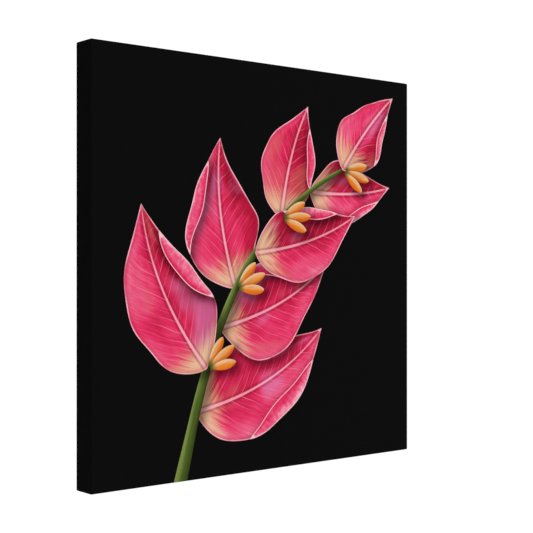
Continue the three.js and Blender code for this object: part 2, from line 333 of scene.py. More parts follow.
KEY_EDGE = 0.3 * MM
PAIR_APART = 0.2  # along the board that the keys are cut from
KEY_APART = 0.09


def sawn_beech():
    """Beech has an even pinkish ground with short dark flecks along the grain."""
    nodes = Finish("sawn_beech", Specular_IOR_Level=0.3)
    place = nodes.attribute("grain")
    cloud = place.noise((20, 160, 160))
    ground = cloud.mix((196, 150, 108), (222, 182, 140))
    fleck = place.noise((420, 3600, 3600), 1).rise(0.6, 0.68)
    colour = (fleck * 0.5).mix(ground, (134, 88, 56))
    saw = place.noise((1600, 90, 90))
    return nodes.coat(colour, cloud * 0.2 + 0.5, saw - fleck * 0.5, 0.05 * MM)


beech = sawn_beech()
for number, side in enumerate(SIDES):
    for end, letter in enumerate("ab"):
        node = f"wedge_key_{side}_{letter}"
        key = shaped(node, f"beech_{node}", KEY_EDGE, [beech])
        across, depth, along = unturned(key, side)
        note(key.data, "grain", along + PAIR_APART * number + KEY_APART * end, across, depth)
        fit(key, "beech", node)

# Canvas
# One square of primed cotton, printed edge to edge in black with a spray of leaves, drawn tight over the
# bars and lapped onto their backs. The print stops short of the cut edge, which shows the bare primer.

CLOTH = 0.5 * MM
FOLD_LAYER = 0.5 * MM  # the folded corner's own layer, which the solid's box takes in
EDGE_ROUND = 1 * MM
CORNER_ROUND = 1.25 * MM
INNER_CORNER = 0.25 * MM
FLAP = 24 * MM
HALF = (cloth_high.x - cloth_low.x) / 2
FRONT = cloth_low.y
BACK = cloth_high.y - FOLD_LAYER
FLAT_HALF = HALF - EDGE_ROUND  # the part of the front that is flat
WALL = BACK - FRONT - 2 * EDGE_ROUND  # the flat part of each side
LAP_START = WALL + (math.pi - 1) * EDGE_ROUND  # the length of cloth that brings it to the back's outer edge
SHEET = 2 * (FLAT_HALF + LAP_START + FLAP)
FOLDED = [1, 0, 1, 0]  # the corners are tucked in along the top and the bottom
LEAVES = 8
TWIG_PULLS = np.array([(-80, -156), (-56, -66), (-34, 30), (82, 78)]) * MM  # from its foot to its tip
RUN_OFF = 40 * MM  # over this length the twig is eased to meet the edge
TWIG_STEPS = 90  # the points along each kind of painted shape
LEAF_STEPS = 56
LIP_STEPS = 40
BUD_STEPS = 24
FOOT_STEPS = 8  # how many of the twig's steps give its lean at the edge


def from_lines(points, start, run):
    """Where each line comes nearest each point, as a share of it, and the offset and distance from there."""
    offset = points[:, None] - start
    share = np.clip((offset * run).sum(2) / np.maximum((run**2).sum(1), 1e-12), 0, 1)
    away = offset - share[..., None] * run
    return share, away, np.hypot(away[..., 0], away[..., 1])


def between(place, marks, rows):
    """Rows that stand at the marks along a line, read at places between them."""
    return np.stack([np.interp(place, marks, column) for column in rows.T], 1)


class Stroke:
    """One painted shape: a spine with a width to each side of it, in metres on the picture's face."""

    def __init__(self, ink, spine, left, right, seed, lit=1):
        self.ink = ink
        self.spine = spine
        self.left = left
        self.right = right
        self.seed = seed
        self.lit = lit  # 1 where the left side is in the light, -1 where the right is
        self.along = np.concatenate([[0], np.cumsum(np.hypot(*np.diff(spine, axis=0).T))])
        tangent = np.gradient(spine, axis=0)
        tangent /= np.hypot(*tangent.T)[:, None]
        self.normal = np.stack([-tangent[:, 1], tangent[:, 0]], 1)
        right_side = (spine - self.normal * right[:, None])[::-1][1:-1]
        self.outline = np.concatenate([spine + self.normal * left[:, None], right_side])

    def places(self, points):
        """Each point's distance along the spine, its place across from -1 to 1, and the width there."""
        share, away, distance = from_lines(points, self.spine[:-1], np.diff(self.spine, axis=0))
        nearest = distance.argmin(1)
        each = np.arange(len(points))
        place = nearest + share[each, nearest]
        count = np.arange(len(self.spine))
        across = (away[each, nearest] * between(place, count, self.normal)).sum(1)
        width = np.where(across > 0, np.interp(place, count, self.left), np.interp(place, count, self.right))
        ratio = np.clip(across / np.maximum(width, 1e-6), -1, 1)
        return np.interp(place, count, self.along), ratio * self.lit, width

    def rim(self, points):
        """Each point's distance from the shape's outline, negative outside it."""
        start = self.outline
        end = np.roll(start, -1, axis=0)
        run = end - start
        distance = from_lines(points, start, run)[2].min(1)
        x, z = points[:, :1], points[:, 1:]
        straddles = (start[:, 1] > z) != (end[:, 1] > z)
        crossing = start[:, 0] + (z - start[:, 1]) * run[:, 0] / np.where(run[:, 1] == 0, 1e-12, run[:, 1])
        inside = (straddles & (x < crossing)).sum(1) % 2 == 1
        return np.where(inside, distance, -distance)


def leaf(base, heading, length, width, bend, seed, lit):
    """A broad pointed leaf from base, at a heading in degrees that bends by bend over its length."""
    share = np.linspace(0, 1, LEAF_STEPS)
    angle = np.radians(heading + bend * share**1.3)
    step = length / (len(share) - 1)
    turns = np.stack([np.cos(angle), np.sin(angle)], 1) * step
    spine = base + np.concatenate([[[0, 0]], np.cumsum(turns[:-1], axis=0)])
    form = np.sin(math.pi * share**0.74) * (1 - 0.3 * share**3)
    left = width * form * (1 + 0.09 * np.sin(8 * share + seed) + 0.025 * np.sin(22 * share + 2 * seed))
    right = width * form * (1 + 0.09 * np.sin(7 * share + 3 * seed) + 0.025 * np.sin(20 * share + seed))
    return Stroke("leaf", spine, left, right, seed, lit)


def lip(under, start, end, width, side, seed):
    """A leaf's margin turned over towards its midrib, from start to end of its length, as shares of it."""
    share = np.linspace(start, end, LIP_STEPS)
    marks = np.linspace(0, 1, LEAF_STEPS)
    form = np.sin(math.pi * np.linspace(0, 1, LIP_STEPS)) ** 0.8
    margin = np.interp(share, marks, under.left if side > 0 else under.right)
    spine = between(share, marks, under.spine)
    normal = between(share, marks, under.normal * side)
    middle = spine + normal * (margin - 0.42 * width * form)[:, None]
    return Stroke("lip", middle, width * form * 0.52, width * form * 0.52, seed, side)


def bud(base, angle, length, seed):
    """A slim bud that stands a little off the twig."""
    way = np.array([math.cos(angle), math.sin(angle)])
    share = np.linspace(0, 1, BUD_STEPS)
    spine = base + way * 3 * MM + np.outer(share, way) * length
    form = 3.3 * MM * np.sin(math.pi * share**1.3) ** 0.7 + 0.5 * MM
    return Stroke("bud", spine, form, form, seed)


def composition():
    """An arching twig of alternate leaves, from the lower left to the upper right, with buds in its axils."""
    share = np.linspace(0, 1, TWIG_STEPS)[:, None]
    pull = TWIG_PULLS
    twig = (1 - share) ** 3 * pull[0] + 3 * (1 - share) ** 2 * share * pull[1]
    twig = twig + 3 * (1 - share) * share**2 * pull[2] + share**3 * pull[3]
    thick = (4.8 - 3.2 * share[:, 0]) * MM
    stem = Stroke("stem", twig, thick, thick, 1.0)
    heading = np.degrees(np.arctan2(*np.gradient(twig, axis=0).T[::-1]))
    behind, front, buds = [], [], []
    for number in range(LEAVES):
        at = int((0.2 + 0.79 * number / (LEAVES - 1)) * (TWIG_STEPS - 1))
        side = 1 if number % 2 else -1
        seed = 1.7 * number + 0.6
        open_by = 64 - 38 * number / LEAVES
        length = (136 - 8 * number + 5 * math.sin(2.1 * number)) * MM
        width = (38 - 2 * number) * MM
        bend = side * (3 * number - 36)
        grown = leaf(twig[at], heading[at] + side * open_by, length, width, bend, seed, side)
        turned = lip(grown, 0.3, 0.84, (13 - number) * MM, -side if number % 3 else side, seed + 0.4)
        (front if number % 3 == 1 else behind).extend([grown, turned])
        if number % 2:
            for spray in (-1, 0, 1):
                angle = math.radians(heading[at] - side * (38 + 24 * spray))
                buds.append(bud(twig[at], angle, (27 - 3 * abs(spray)) * MM, seed + spray))
    return behind + [stem] + front + buds


def smooth(value, low, high):
    """0 below low, 1 above high, and smooth between."""
    share = np.clip((value - low) / (high - low), 0, 1)
    return share * share * (3 - 2 * share)


def run_off(stroke, edge):
    """Leads a shape off the picture's lower edge at two of the edge's own points, so that no seam opens.

    Gives those two points' places along the edge."""
    low = edge[np.abs(edge[:, 1] + FLAT_HALF) < SAME_POINT]
    inside = stroke.outline[stroke.outline[:, 1] > -FLAT_HALF + 0.4 * MM]
    half = len(inside) // 2
    ends = []
    for near, after, part in ((0, 1, slice(0, half)), (-1, -2, slice(half, None))):
        run = inside[near] - inside[after]
        crossing = inside[near, 0] - run[0] / run[1] * (inside[near, 1] + FLAT_HALF)
        end = low[np.abs(low[:, 0] - crossing).argmin()]
        ease = 1 - smooth(inside[part, 1], -FLAT_HALF, RUN_OFF - FLAT_HALF)
        inside[part, 0] += (end[0] - crossing) * ease
        ends.append(end)
    stroke.outline = np.concatenate([[ends[0]], inside, [ends[1]]])
    return ends[0][0], ends[1][0]


STEPS_A_SIDE = 130
STEPS_A_CORNER = 6
CLOSE_STEPS = np.array([0, 0.4, 0.8, 1.2, 1.6, 2.1, 2.8, 3.8]) * MM  # from the end of each straight side
WIDE_STEP = 2.2 * MM


def quarter(inset):
    """The cloth's top side and its right-hand corner, as seen from the front, inset from its outer faces.

    Gives each point's place along the side and out from the middle, and how far round the corner it is."""
    radius = max(CORNER_ROUND - inset, INNER_CORNER)
    reach = HALF - inset - radius
    middle = np.linspace(-1, 1, STEPS_A_SIDE) * (reach - CLOSE_STEPS[-1] - WIDE_STEP)
    straight = np.concatenate([CLOSE_STEPS - reach, middle, reach - CLOSE_STEPS[::-1]])
    turned = np.linspace(0, 1, STEPS_A_CORNER + 1)[1:-1]
    angle = turned * math.pi / 2
    along = np.concatenate([straight, reach + radius * np.sin(angle)])
    out = np.concatenate([np.full_like(straight, reach + radius), reach + radius * np.cos(angle)])
    return along, out, np.concatenate([np.zeros_like(straight), turned])


def rows():
    """How the cloth runs from the front's flat part to its cut edge.

    Each row gives its inset, its depth, its length of cloth, and which way it faces: 0 for the front,
    a quarter turn for the side and a half turn for the back."""
    quarter_turn = math.pi / 2
    bends = [(0, angle) for angle in np.linspace(0, quarter_turn, 6)]
    bends += [(down, quarter_turn) for down in np.linspace(0, WALL, 11)[1:-1]]
    bends += [(WALL, angle) for angle in np.linspace(quarter_turn, math.pi, 6)]
    made = []
    for down, angle in bends:
        inset = EDGE_ROUND * (1 - math.sin(angle))
        depth = FRONT + down + EDGE_ROUND * (1 - math.cos(angle))
        made.append((inset, depth, down + EDGE_ROUND * angle, angle))
    lap = np.linspace(EDGE_ROUND, FLAP, 19)[1:]
    return made + [(inset, BACK, LAP_START + inset, math.pi) for inset in lap]


def middle_of(node):
    """A solid's middle, from the picture's middle."""
    low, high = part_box(node)
    return (low + high) / 2 - MIDDLE.translation


STAPLES_ALONG = np.array([middle_of(f"staple_top_{number}").x for number in range(1, 7)])
STAPLE_INSET = HALF - middle_of("staple_top_1").z
CORNER_STAPLE = middle_of("staple_corner_top_right")
TUCK_BULGE = 0.3 * MM
CREASE = 0.22 * MM  # its depth
CREASE_AT = 1.5 * MM  # from the corner
CREASE_WIDTH = 0.45 * MM
LAYER_START = 118 * MM  # where a folded corner's own layer starts, along the side from its middle
LAYER_EASE = 9 * MM
PINCH_ALONG = 6 * MM  # how far each way a staple draws the flap down
PINCH_ACROSS = 8 * MM
CORNER_PINCH = 5 * MM
PUFF = 0.25 * MM
EDGE_LIFT = 0.4 * MM


def hump(away, reach):
    """1 where away is 0, falling to nearly 0 at twice the reach."""
    return np.exp(-((away / reach) ** 2))


def stand_off(along, run, folded, side):
    """How far the cloth stands off the bar: over the tucked corner, and in soft puffs between the staples."""
    from_corner = HALF - np.abs(along)
    tuck = smooth(1.15 * run - from_corner, 0, 3 * MM) * smooth(from_corner, 1.3 * MM, 2.4 * MM)
    crease = hump(from_corner - CREASE_AT, CREASE_WIDTH)
    wall = folded * (TUCK_BULGE * tuck - CREASE * crease) * smooth(run, 0.5 * MM, 4 * MM)

    lap = run - LAP_START
    nearest = np.abs(along[:, None] - STAPLES_ALONG).min(1)
    pinch = hump(nearest, PINCH_ALONG) * hump(lap - STAPLE_INSET, PINCH_ACROSS)
    to_corner_staple = np.hypot(np.abs(along) - CORNER_STAPLE.x, HALF - lap - CORNER_STAPLE.z)
    pinch = np.maximum(pinch, folded * hump(to_corner_staple, CORNER_PINCH))
    ripple = 0.5 + 0.3 * np.sin(71 * along + 2.3 * side) + 0.2 * np.sin(187 * along + 4.1 * side)
    puff = PUFF * smooth(lap, 1 * MM, 8 * MM) * (0.5 + 0.5 * ripple)
    free = EDGE_LIFT * smooth(lap, 15 * MM, FLAP) * ripple * (1 - hump(nearest, 1.5 * PINCH_ALONG))
    layer = folded * smooth(np.abs(along), LAYER_START, LAYER_START + LAYER_EASE)
    layer = layer * smooth(lap, 0.6 * MM, 2.2 * MM)
    flap = (puff + free) * (1 - pinch) * (1 - 0.5 * layer) + FOLD_LAYER * layer
    over = smooth(lap, -1.5 * MM, 2 * MM)
    return (1 - over) * wall + over * flap


def round_the_bars(inset, depth, run, facing):
    """One row of the cloth, all the way round, as points about the picture's middle."""
    along, out, turned = quarter(inset)
    made = []
    for side in range(4):
        folded = (1 - turned) * FOLDED[side] + turned * FOLDED[(side + 1) % 4]
        off = stand_off(along, run, folded, side)
        row = np.stack([along, depth - off * math.cos(facing), out + off * math.sin(facing)], 1)
        made.append(row @ np.array(Matrix.Rotation(side * math.pi / 2, 3, "Y")).T)
    return np.concatenate(made)


FINE_GRID = 2.4 * MM  # between the points inside the painted shapes
GRID_CLEAR = 0.7 * MM  # none of them is closer to an outline


def painted_front(strokes, edge):
    """Triangles for the flat front whose edges follow every painted shape, inside the given edge.

    Gives the points, the triangles, the number of the topmost shape on each triangle (0 is the ground)
    and, for each point of the edge, its number among the points."""
    count = int(2 * FLAT_HALF / FINE_GRID)
    line = (np.arange(1, count) / count * 2 - 1) * FLAT_HALF
    grid = np.stack(np.meshgrid(line, line), 2)
    grid[1::2, :, 0] += FINE_GRID / 2
    painted = np.zeros(grid.shape[:2], bool)
    painted[::4, ::4] = True  # the plain ground needs only every fourth point each way
    grid, painted = grid.reshape(-1, 2), painted.ravel()
    clear = np.abs(grid).max(1) < FLAT_HALF - GRID_CLEAR
    for stroke in strokes:
        rim = stroke.rim(grid)
        painted |= rim > 0
        clear &= np.abs(rim) > GRID_CLEAR
    outlines = [edge] + [stroke.outline for stroke in strokes]
    starts = np.cumsum([0] + [len(outline) for outline in outlines])
    faces = [list(range(start, start + len(outline)))[::-1] for start, outline in zip(starts, outlines)]
    points = np.concatenate(outlines + [grid[clear & painted]]) / MM
    found = delaunay_2d_cdt([Vector(p) for p in points], [], faces, 1, 1e-4, True)
    places, _, triangles, old_points, _, shapes = found
    within = [(face, max(over)) for face, over in zip(triangles, shapes) if over]  # no slivers past the edge
    triangles, topmost = zip(*within)
    new_number = {old: new for new, olds in enumerate(old_points) for old in olds}
    along_edge = [new_number[number] for number in range(len(edge))]
    return np.array([p[:] for p in places]) * MM, triangles, topmost, along_edge


def band(ring, after):
    """The faces between two rings of a mesh's points."""
    return zip(ring, ring[1:] + ring[:1], after[1:] + after[:1], after)


INKS = ["ground", "leaf", "lip", "stem", "bud"]  # in the order of the canvas's materials
strokes = composition()
cloth_rows = rows()
edge = round_the_bars(*cloth_rows[0])[:, [0, 2]]
twig = next(stroke for stroke in strokes if stroke.ink == "stem")
twig_ends = run_off(twig, edge)
twig_foot = twig.spine[FOOT_STEPS] - twig.spine[0]
flat_points, triangles, topmost, last = painted_front(strokes, edge)
count = len(edge)
places = [np.insert(flat_points, 1, FRONT, axis=1)]
faces = list(triangles)
run_of_point = [0.0] * len(flat_points)
for row in cloth_rows[1:]:
    this = list(range(len(run_of_point), len(run_of_point) + count))
    places.append(round_the_bars(*row))
    run_of_point += [row[2]] * count
    faces += band(last, this)
    last = this
places = np.concatenate(places)

mesh = bpy.data.meshes.new("printed_canvas")
mesh.from_pydata(places + np.array(MIDDLE.translation), [], faces)
flat_faces = len(triangles)
face_stroke = np.zeros(len(faces), int)
face_stroke[:flat_faces] = topmost
ink_of_stroke = np.array([0] + [INKS.index(stroke.ink) for stroke in strokes], np.int32)
mesh.polygons.foreach_set("material_index", ink_of_stroke[face_stroke])

# Where each corner of each face lies on the flat sheet, and where it lies on its painted shape
corner_point = read(mesh.loops, "vertex_index", kind=np.int32)
corner_face = np.repeat(np.arange(len(faces)), [len(face) for face in faces])
on_sheet = places[corner_point][:, [0, 2]]
beyond = corner_face >= flat_faces
step = (corner_face[beyond] - flat_faces) % count
turn = (step + STEPS_A_CORNER // 2) // (count // 4) % 4
x, z = on_sheet[beyond].T
along = np.choose(turn, [x, -z, -x, z])
out = FLAT_HALF + np.array(run_of_point)[corner_point[beyond]]
x = np.choose(turn, [along, out, -along, -out])
z = np.choose(turn, [out, -along, -out, along])
on_sheet[beyond] = np.stack([x, z], 1)
sheet_map = mesh.uv_layers.new(name="sheet")
sheet_map.data.foreach_set("uv", on_sheet.astype(np.float32).ravel())
side_of_face = np.full(len(faces), len(SIDES), np.int32)  # past the last side is the front
side_of_face[corner_face[beyond]] = turn
mesh.attributes.new("side", "INT", "FACE").data.foreach_set("value", side_of_face)

SHADOW_FALL = np.array([2.2, -2.6]) * MM  # the painted light comes from the upper left
SHADOW_REACH = 8 * MM
marks = np.zeros((len(corner_point), 6))
for number, stroke in enumerate(strokes, 1):
    mine = np.flatnonzero(face_stroke[corner_face] == number)
    used, back = np.unique(corner_point[mine], return_inverse=True)
    points = places[used][:, [0, 2]]
    rim = np.maximum(stroke.rim(points), 0)
    shade = np.zeros(len(points))
    for upper in strokes[number:]:
        cast = np.clip(1 + upper.rim(points - SHADOW_FALL) / SHADOW_REACH, 0, 1)
        shade = np.maximum(shade, cast**1.5)
    seed = np.full(len(points), stroke.seed)
    marks[mine] = np.stack([*stroke.places(points), rim, shade, seed], 1)[back]
note(mesh, "stroke", *marks.T[:3], domain="CORNER")
note(mesh, "brush", *marks.T[3:], domain="CORNER")

# A second map, which gives most of its area to the printed front
FRONT_SHARE = 0.68  # these are shares of the map's width
MARGIN = 0.003
STRIP = 0.072  # the height of a side and its flap
BACK_SHARE = 0.3
CUT_SHARE = 0.165  # the length of one side of the cut edge
CUT_AT = 0.99
CUT_HEIGHT = 0.006


def bake_layout(mesh, outer_points):
    """Lays out the front large, its back small beside it, and the eight strips of side and flap around."""
    ends = read(mesh.loops, "vertex_index", kind=np.int32)
    sizes = read(mesh.polygons, "loop_total", kind=np.int32)
    side = np.repeat(read(mesh.attributes["side"].data, "value", kind=np.int32), sizes)
    inner = ends >= outer_points
    starts = np.concatenate([[0], np.cumsum(sizes)[:-1]])
    inner_share = np.repeat(np.add.reduceat(inner.astype(int), starts) / sizes, sizes)
    u, v = read(mesh.uv_layers["sheet"].data, "uv", 2).T

    along = np.choose(side, [u, -v, -u, v, v]) / (2 * HALF) + 0.5
    out = (np.choose(side, [v, u, -v, -u, -u]) - FLAT_HALF) / (SHEET / 2 - FLAT_HALF)
    length = MARGIN + along * FRONT_SHARE
    far = FRONT_SHARE + 2 * MARGIN
    strip = far + side * (STRIP + MARGIN) + out * STRIP
    flat_u, flat_v = u / (2 * FLAT_HALF) + 0.5, v / (2 * FLAT_HALF) + 0.5

    front, outer = side == len(SIDES), inner_share == 0
    cut = (inner_share > 0) & (inner_share < 1)
    kinds = [cut, front & outer, front, outer]
    cut_along = MARGIN + (side + along) * CUT_SHARE
    across = [cut_along, MARGIN + flat_u * FRONT_SHARE, far + flat_u * BACK_SHARE, length]
    up = [CUT_AT + CUT_HEIGHT * inner, MARGIN + flat_v * FRONT_SHARE, MARGIN + flat_v * BACK_SHARE, strip]
    laid = np.stack([np.select(kinds, across, strip), np.select(kinds, up, 1 - length)], 1)
    mesh.uv_layers.new(name="OFBake").data.foreach_set("uv", laid.astype(np.float32).ravel())


PRINT_END = 10 * MM  # where the black stops on the back, from the picture's outer face
THREAD_PITCH = 0.5 * MM
ROUND_SHARP = math.radians(40)  # cloth and round pieces are smooth up to here


def woven(nodes):
    """Plain weave. Gives the place on the flat sheet, a height from 0 to 1, and how uneven the yarn is."""
    sheet = nodes.make("ShaderNodeUVMap", uv_map="sheet")
    drift = sheet.noise((90, 90, 0))
    u, v, _ = sheet.stretch(1 / THREAD_PITCH, 1 / THREAD_PITCH, 0).split()
    u, v = u + drift * 1.2, v - drift
    heights = []
    for here, there, lift in ((u, v, 0.0), (v, u, 1.0)):
        across = (here.maths("FRACT") * math.pi).maths("SINE")
        turn = there + here.maths("FLOOR") + (lift - 0.5)
        over = (turn * math.pi).maths("COSINE")
        heights.append(across * (over * 0.5 + 0.5))
    warp, weft = sheet.noise((1500, 45, 0), 3), sheet.noise((45, 1500, 0), 3)
    return sheet, heights[0].maths("MAXIMUM", heights[1]), warp + weft


def printed(name, paint):
    """Ink on primed canvas. paint(nodes, sheet) gives the ink's colour."""
    nodes = Finish(name, Roughness=0.8, Specular_IOR_Level=0.01)
    sheet, height, yarn = woven(nodes)
    # painted shade: the ink is darker in the hollows of the weave, and it also follows the yarn's own uneven
    # tone
    colour = paint(nodes, sheet).dim(height * 0.22 + yarn * 0.14 + 0.74)
    return nodes.coat(colour, None, yarn * 0.3 + height, 0.1 * MM)


def stroke_inputs(nodes):
    """How far along and across a shape a place is, its width and rim there, its shadow, and its seed."""
    return nodes.attribute("stroke").split() + nodes.attribute("brush").split()


BLACK = 12, 12, 12
DEEP_CRIMSON = 138, 16, 44
CRIMSON = 186, 26, 62
HOT_PINK = 222, 48, 96
ROSE = 230, 96, 132
PALE_PINK = 242, 172, 186
LILAC = 214, 120, 172
SALMON = 206, 96, 90
CREAM = 225, 192, 152
ORANGE = 226, 132, 40
BURNT_ORANGE = 190, 66, 18
LEAF_GREEN = 78, 96, 36
DARK_GREEN = 48, 58, 22


def stem_colour(nodes, along, across, seed):
    """A green twig, lighter on its left side."""
    streak = nodes.join(along * 25, across * 3, seed).noise(1, 3)
    light = across * 0.34 + streak * 0.5 + 0.22
    return light.ramp((0.15, DARK_GREEN), (0.5, LEAF_GREEN), (0.9, (132, 150, 78)))


def ground_ink(nodes, sheet):
    """Black, with the twig carried on over the lower edge, to the print's end, and white primer beyond."""
    u, v, _ = sheet.split()
    below = v + FLAT_HALF
    lean = twig_foot[0] / twig_foot[1]
    across = (u - below * lean - sum(twig_ends) / 2) / ((twig_ends[0] - twig_ends[1]) / 2)
    on_twig = abs(across).rise(1.03, 0.97) * (below < 0)
    ink = on_twig.mix(BLACK, stem_colour(nodes, below, across, 1.0))
    out = abs(u).maths("MAXIMUM", abs(v)) + sheet.noise((500, 500, 0), 3) * (0.5 * MM)
    end = SHEET / 2 - FLAP + PRINT_END
    return out.rise(end, end + 0.35 * MM).mix(ink, (226, 224, 216))


def leaf_ink(nodes, sheet):
    """A leaf lit from one side, brushed along its side veins, with a pale rim and midrib."""
    along, across, width, rim, shade, seed = stroke_inputs(nodes)
    away = abs(across)
    from_rib = away * width
    drift = nodes.join(along * 55, across, seed).noise(1, 1)
    vein_run = along - from_rib * 1.1 + drift * (7 * MM)
    streak = nodes.join(vein_run * 520, away * 2.2, seed).noise(1, 5, 0.66)
    cloud = nodes.join(along * 26, across * 1.3, seed).noise()
    light = across * 0.3 + cloud * 0.85 + streak * 0.62 - 0.32
    colour = light.ramp(
        (0.05, DEEP_CRIMSON), (0.3, CRIMSON), (0.52, HOT_PINK), (0.78, ROSE), (1.0, PALE_PINK)
    )
    tint = nodes.join(along * 18 + 5, across * 0.9 + 3, seed).noise()
    colour = (tint.rise(0.56, 0.72) * 0.5).mix(colour, LILAC)
    colour = (tint.rise(0.42, 0.3) * 0.45).mix(colour, SALMON)
    foot = (along - streak * (34 * MM)).rise(10 * MM, -10 * MM)
    colour = (foot * 0.85).mix(colour, CREAM)

    groove = abs(from_rib - 2 * MM).rise(1.6 * MM, 0.0)
    colour = (groove * 0.5).mix(colour, DEEP_CRIMSON)
    rib = (from_rib + along * 0.007).rise(1.45 * MM, 0.95 * MM)
    colour = (rib * (cloud * 0.8 + 0.35)).mix(colour, PALE_PINK)
    side_vein = vein_run.maths("PINGPONG", 4.6 * MM).rise(0.5 * MM, 0.1 * MM)
    side_vein = side_vein * away.rise(0.95, 0.3) * streak.rise(0.3, 0.6)
    colour = (side_vein * 0.34).mix(colour, PALE_PINK)

    colour = (rim.rise(4.5 * MM, 0.9 * MM) * 0.42).mix(colour, CRIMSON)
    pressure = nodes.join(along * 60, across, seed).noise()
    edge_light = (rim - pressure * (1.3 * MM)).rise(0.35 * MM, -0.15 * MM)
    colour = (edge_light * pressure.rise(0.2, 0.6)).mix(colour, PALE_PINK)
    return colour.dim(1 - shade * 0.66)


def lip_ink(nodes, sheet):
    """The paler underside where a margin turns over: bright along the roll, and deep red where it ends."""
    along, across, _, rim, shade, seed = stroke_inputs(nodes)
    streak = nodes.join(along * 420, across * 0.9, seed).noise(1, 5, 0.66)
    cloud = nodes.join(along * 60, across, seed).noise()
    light = across * 0.26 + cloud * 0.7 + streak * 0.75 - 0.2
    colour = light.ramp((0.12, CRIMSON), (0.38, HOT_PINK), (0.62, ROSE), (0.9, PALE_PINK))
    colour = (rim.rise(0.9 * MM, 0.35 * MM) * 0.85).mix(colour, (246, 200, 206))
    return colour.dim(1 - shade * 0.55)


def stem_ink(nodes, sheet):
    along, across, _, _, shade, seed = stroke_inputs(nodes)
    return stem_colour(nodes, along, across, seed).dim(1 - shade * 0.7)


def bud_ink(nodes, sheet):
    """An orange bud, cream on its lit side and green at its foot."""
    along, across, _, _, shade, seed = stroke_inputs(nodes)
    streak = nodes.join(along * 60, across * 1.5, seed).noise(1, 3)
    light = across * 0.3 + streak * 0.5 + 0.24
    colour = light.ramp((0.1, BURNT_ORANGE), (0.45, ORANGE), (0.8, CREAM))
    colour = along.rise(7 * MM, 1 * MM).mix(colour, LEAF_GREEN)
    return colour.dim(1 - shade * 0.5)


def raw_cotton():
    """The unprimed side: even off-white cotton with fine slubs both ways and a few dark seed flecks."""
    nodes = Finish("raw_cotton", Roughness=0.9, Specular_IOR_Level=0.2, Sheen_Weight=0.15)
    sheet, height, yarn = woven(nodes)
    colour = sheet.noise((12, 12, 0)).mix((216, 208, 188), (230, 223, 205))
    # painted shade: the cotton is darker in the hollows of the weave, and it also follows the yarn's own
    # uneven tone
    colour = colour.dim(height * 0.3 + yarn * 0.12 + 0.72)
    fleck = sheet.noise((700, 450, 0), 1).rise(0.75, 0.79)
    colour = (fleck * 0.6).mix(colour, (120, 96, 62))
    return nodes.coat(colour, None, yarn * 0.5 + height, 0.15 * MM)


canvas = new_piece(
    "printed_canvas",
    mesh,
    printed("black_print", ground_ink),
    printed("leaf_print", leaf_ink),
    printed("turned_edge_print", lip_ink),
    printed("twig_print", stem_ink),
    printed("bud_print", bud_ink),
    raw_cotton(),
)
thickness = canvas.modifiers.new("thickness", "SOLIDIFY")
thickness.thickness = CLOTH
thickness.offset = -1
thickness.material_offset = len(INKS)
thickness.material_offset_rim = len(INKS)
bake_down(canvas)
bake_layout(canvas.data, len(places))
smooth_shaded(canvas.data, ROUND_SHARP)
fit(canvas, "printed_canvas", "canvas_cloth")

# Frayed edge
# The canvas was cut with a knife, so loose ends of its cotton yarn stand out along the cut edge on the back.
# They are part of the cloth.


def grow(piece, build, material, **sizes):
    """Runs a Geometry Nodes tree on a piece, and keeps what it makes as the piece's own plain mesh.

    build(nodes, geometry, *sizes) puts it together from the piece's geometry and the tree's named inputs."""
    sizes["material"] = material
    tree = bpy.data.node_groups.new(build.__name__, "GeometryNodeTree")
    tree.interface.new_socket("geometry", in_out="OUTPUT", socket_type="NodeSocketGeometry")
    tree.interface.new_socket("geometry", in_out="INPUT", socket_type="NodeSocketGeometry")
    kinds = {int: "NodeSocketInt", float: "NodeSocketFloat"}
    identifiers = []
    for size, value in sizes.items():
        kind = kinds.get(type(value), "NodeSocketMaterial")
        identifiers.append(tree.interface.new_socket(size, in_out="INPUT", socket_type=kind).identifier)
    nodes = Nodes(tree)
    given = nodes.add("NodeGroupInput").outputs[:-1]  # the last is an empty one, for more
    *inputs, coating = [Value(nodes, socket) for socket in given]
    whole = nodes.make("GeometryNodeRealizeInstances", build(nodes, *inputs))
    nodes.add("NodeGroupOutput", nodes.make("GeometryNodeSetMaterial", whole, Material=coating))
    made = piece.modifiers.new(tree.name, "NODES")
    made.node_group = tree
    for identifier, value in zip(identifiers, sizes.values()):
        made[identifier] = value
    bake_down(piece)
    if piece.data.materials[0] is None:  # the empty slot of the mesh that it grew from
        piece.data.materials.pop(index=0)


